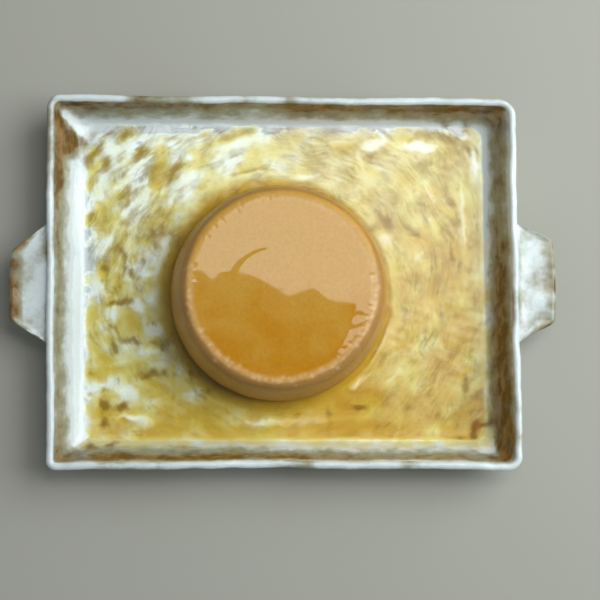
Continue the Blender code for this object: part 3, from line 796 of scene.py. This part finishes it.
def pudding_profile():
    """(radius, height) rows from the middle of the base up the side and over the shoulder to the middle of
    the top: straight runs and quarter arcs, the side with half a sine's belly, the top a shallow dish."""
    bottom = pudding_low[2]
    slope = math.atan2(base_radius - top_radius, pudding_top - bottom)
    shoulder_radius = top_radius + shoulder_round * math.tan(slope)
    foot_turn = np.linspace(-math.pi / 2, 0, 6)
    up = np.linspace(0, 1, 40)[1:-1]
    over = np.linspace(0, math.pi / 2, 18)
    inward = np.linspace(1, 0, 54)[1:-1]
    edge = shoulder_radius - shoulder_round
    foot_z, shoulder_z = bottom + foot_round, pudding_top - shoulder_round
    rows = [
        np.stack([np.array([0.3, 0.7]) * base_radius, np.full(2, bottom)], axis=-1),
        np.stack([base_radius - foot_round * (1 - np.cos(foot_turn)), bottom + foot_round * (1 + np.sin(foot_turn))], axis=-1),
        np.stack([base_radius + (shoulder_radius - base_radius) * up + belly * np.sin(math.pi * up),
                  foot_z + (shoulder_z - foot_z) * up], axis=-1),
        np.stack([shoulder_radius - shoulder_round * (1 - np.cos(over)), shoulder_z + shoulder_round * np.sin(over)], axis=-1),
        np.stack([edge * inward, pudding_top - sink * np.cos(inward * math.pi / 2) ** 2], axis=-1),
    ]
    return np.concatenate(rows)


profile = pudding_profile()
turn = np.linspace(0, 2 * math.pi, around, endpoint=False)
body_x = profile[:, 0, None] * np.cos(turn)
body_y = profile[:, 0, None] * np.sin(turn)
body_z = np.repeat(profile[:, 1, None], around, axis=1)
rise = (body_z - floor_thickness) / (pudding_top - floor_thickness)
steps = np.hypot(*np.diff(profile, axis=0).T)
reach = profile[-1, 0] + np.append(steps[::-1].cumsum()[::-1], 0.0)  # from the middle of the top along the skin
lean = 1 + 0.004 * np.sin(2 * turn + 0.7) + 0.003 * rise * np.sin(3 * turn + 2.0)
radius_at = np.hypot(body_x, body_y)
on_top = smooth_step((64.5 * MM - radius_at) / (5 * MM)) * (body_z > pudding_top - 3 * MM)


def mound(x, y, middle_x, middle_y, along, across, heading):
    """An oval swelling: exp(-r^2), r being 1 on the oval's edge."""
    turned = math.radians(heading)
    away_x, away_y = x - middle_x * MM, y - middle_y * MM
    p = (away_x * math.cos(turned) + away_y * math.sin(turned)) / (along * MM)
    q = (-away_x * math.sin(turned) + away_y * math.cos(turned)) / (across * MM)
    return np.exp(-(p * p + q * q))


# The top's skin lies in shallow waves: at each x it tilts by its slope about the line y = crest, and the
# tilt dies away over wave_reach. A short curved fold steps up at the
# left, and a low lip stands at the right.
wave_at = np.array((-58, -53, -48, -42, -37, -32, -27, -22, -13, -5, 1, 9, 17, 22, 27, 36, 47)) * MM
wave_slope = (-0.2, -0.9, -3.7, -3.7, -0.5, 2.0, 2.3, 1.8, 0.2, -1.2, -3.4, -0.5, 2.6, 1.0, -1.4, -1.0, -0.5)  # thousandths
crest_at = (5.7, 4.0, -2.7, -2.7, 1.0, 3.6, 3.3, 1.5, -3.0, -7.2, -11.0, -8.4, -7.0, -9.3, -14.2, -15.0, -16.7)
place_x, place_y = body_x + pudding_middle[0], body_y + pudding_middle[1]
wave_reach = 13 * MM


def waved(values):
    """The values at wave_at joined by straight lines, then rounded by a bell 2.2 mm wide."""
    fine = np.linspace(-90, 90, 361) * MM
    bell = np.exp(-((np.arange(-12, 13) * 0.5 / 2.2) ** 2))
    return np.interp(place_x, fine, np.convolve(np.interp(fine, wave_at, values), bell / bell.sum(), "same"))


crest, tilt = waved(crest_at) * MM, waved(wave_slope) / 1000
top_swell = tilt * (place_y - crest) * np.exp(-(((place_y - crest) / wave_reach) ** 2))
fold_x, fold_y, fold_radius = -10.1 * MM, -5.0 * MM, 23.4 * MM
fold_far = np.hypot(place_x - fold_x, place_y - fold_y) - fold_radius
fold_turn = np.degrees(np.arctan2(place_y - fold_y, place_x - fold_x)) % 360
fold_side = smooth_step((fold_turn - 74) / 40) * smooth_step((180 - fold_turn) / 20)
fold_width = (3.4 + 4.6 * smooth_step((fold_turn - 118) / 45)) * MM
top_swell += 0.030 * fold_width * smooth_step(fold_far / fold_width) * np.exp(-((np.maximum(fold_far, 0) / (7 * MM)) ** 2)) * fold_side
lip_turn = np.degrees(np.arctan2(body_y, body_x))
lip_side = smooth_step((lip_turn + 58) / 8) * smooth_step(-lip_turn / 10)
lip_x, lip_y, lip_radius = -59.1 * MM, 11.8 * MM, 109.2 * MM
past_lip = np.hypot(place_x - lip_x, place_y - lip_y) - lip_radius + 0.2 * MM * swell(body_x, body_y, 9 * MM, 55, octaves=1)
top_swell += 0.085 * (past_lip + np.hypot(past_lip, 0.9 * MM)) / 2 * lip_side
body_z = body_z + on_top * top_swell

# Pits along the shoulder: small bowls at random places, most of them where the side meets the top.
draw = np.random.default_rng(61)
pit_count = 170
pit_turn = draw.uniform(0, 2 * math.pi, pit_count)
pit_radius = draw.normal(60.4, 1.3, pit_count) * MM
pit_size = draw.uniform(0.7, 1.4, pit_count) * MM
pit_depth = 0.10 * pit_size
shoulder_rows = np.flatnonzero((profile[:, 0] > 56 * MM) & (profile[:, 1] > 44 * MM))
pit_field = np.zeros_like(body_x)
band_x, band_y = body_x[shoulder_rows], body_y[shoulder_rows]
for one_turn, one_radius, size, depth in zip(pit_turn, pit_radius, pit_size, pit_depth):
    near_x, near_y = one_radius * math.cos(one_turn), one_radius * math.sin(one_turn)
    columns = np.abs((turn - one_turn + math.pi) % (2 * math.pi) - math.pi) < 0.06
    apart = (band_x[:, columns] - near_x) ** 2 + (band_y[:, columns] - near_y) ** 2
    pit_field[np.ix_(shoulder_rows, columns)] += depth * np.exp(-apart / size**2)
body_z = body_z - pit_field

pudding_points = np.stack([
    body_x * lean + 0.5 * MM * rise + pudding_middle[0],
    body_y * lean - 0.3 * MM * rise + pudding_middle[1],
    body_z,
], axis=-1).reshape(-1, 3)
poles = np.array([[pudding_middle[0], pudding_middle[1], pudding_low[2]],
                  [pudding_middle[0] + 0.5 * MM, pudding_middle[1] - 0.3 * MM, pudding_top - sink]])
body_numbers = np.arange(len(pudding_points)).reshape(-1, around)
body_quads = np.concatenate([quads_between(low, high) for low, high in zip(body_numbers, body_numbers[1:])])
bottom_pole, top_pole = len(pudding_points), len(pudding_points) + 1
first, last = body_numbers[0], body_numbers[-1]
bottom_fan = np.stack([np.full(around, bottom_pole), np.roll(first, -1), first], axis=-1)
top_fan = np.stack([np.full(around, top_pole), last, np.roll(last, -1)], axis=-1)
pudding = mesh_piece(
    "custard_pudding",
    np.concatenate((pudding_points, poles)),
    (body_quads, bottom_fan, top_fan),
    # froth: where the shoulder's pits are, for the painted glints on them
    froth=np.append(np.clip(pit_field.ravel() / (0.11 * MM), 0, 1), (0.0, 0.0)),
    reach=np.append(np.repeat(reach, around), (reach[0], 0.0)),
)


def custard_material():
    """Custard whose colour goes from tan on the side to soaked amber on the top, deeper in soft clouds. A pale
    ring round the shoulder is partly paler skin and partly painted sheen, and the pits toward the front are
    painted pale as glints.
    """
    side, shoulder, amber, deep = (0.57, 0.308, 0.078), (0.46, 0.235, 0.055), (0.60, 0.315, 0.038), (0.56, 0.236, 0.004)
    skin_and_sheen, wet, froth = (0.76, 0.48, 0.19), (0.38, 0.18, 0.03), (0.90, 0.64, 0.36)
    n = Nodes("caramel_custard")
    place = n.add("TexCoord").outputs["Object"]
    axes = n.add("SeparateXYZ", {0: place})
    clouds = n.noise(place, 38.0, 4.0, 0.6)
    pores = n.noise(place, 520.0, 3.0, 0.6)
    reach_at = n.math("ADD", n.add("Attribute", attribute_name="reach").outputs["Fac"],
                      n.math("MULTIPLY", n.math("SUBTRACT", clouds, 0.5), 5 * MM))
    past_edge = n.between(axes.outputs["Y"], -5 * MM, 25 * MM, 0.0, 3.5 * MM)  # the caramel ran over the back's edge
    soaked = n.between(n.math("SUBTRACT", reach_at, past_edge), 61.8 * MM, 60.2 * MM)
    # the pale ring round the shoulder: partly paler skin, partly painted sheen
    pale = n.math("MULTIPLY", n.between(reach_at, 56.5 * MM, 59.5 * MM), n.between(reach_at, 63.5 * MM, 61.5 * MM))
    glossy = n.between(reach_at, 62.5 * MM, 57.5 * MM)
    depth = n.between(n.math("ADD", n.math("MULTIPLY", axes.outputs["Y"], -6.0), clouds), 0.45, 0.95)
    top = n.mix(depth, amber, deep)
    lower = n.mix(n.between(reach_at, 76 * MM, 68 * MM), side, shoulder)
    runs = n.noise(n.stretched(place, (60, 60, 9)), 1.0, 3.0)  # where syrup has run down the side
    lower = n.mix(n.math("MULTIPLY", n.between(runs, 0.45, 0.7), 0.45), lower, wet)
    # painted sheen and glints are laid on stronger toward the front
    front = n.between(axes.outputs["Y"], 30 * MM, -10 * MM, 0.12, 0.42)
    colour = n.mix(n.math("MULTIPLY", pale, front), n.mix(soaked, lower, top), skin_and_sheen)
    # painted glints: the pits are painted pale, as their highlights
    froth_at = n.add("Attribute", attribute_name="froth").outputs["Fac"]
    colour = n.mix(n.math("MULTIPLY", n.math("MULTIPLY", froth_at, front), 0.8), colour, froth)
    colour = n.mix(1.0, colour, n.between(pores, 0.30, 0.70, 0.94, 1.05), "MULTIPLY")
    n.link(colour, "Base Color")
    damp = n.between(runs, 0.4, 0.7, 0.48, 0.34)
    n.link(n.math("ADD", n.math("MULTIPLY", n.math("SUBTRACT", 1.0, glossy), n.math("SUBTRACT", damp, 0.022)), 0.022), "Roughness")
    bump = n.add("Bump", {"Height": pores, "Strength": n.between(soaked, 0.0, 0.6, 0.5, 0.0), "Distance": 0.0003})
    n.link(bump.outputs["Normal"], "Normal")
    n.shader.inputs["IOR"].default_value = 1.45
    n.shader.inputs["Subsurface Weight"].default_value = 0.25
    n.shader.inputs["Subsurface Radius"].default_value = (4.0, 2.0, 0.8)
    n.shader.inputs["Subsurface Scale"].default_value = 0.001
    return n.material


pudding.data.materials.append(custard_material())
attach(pudding, "root")
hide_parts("pudding")
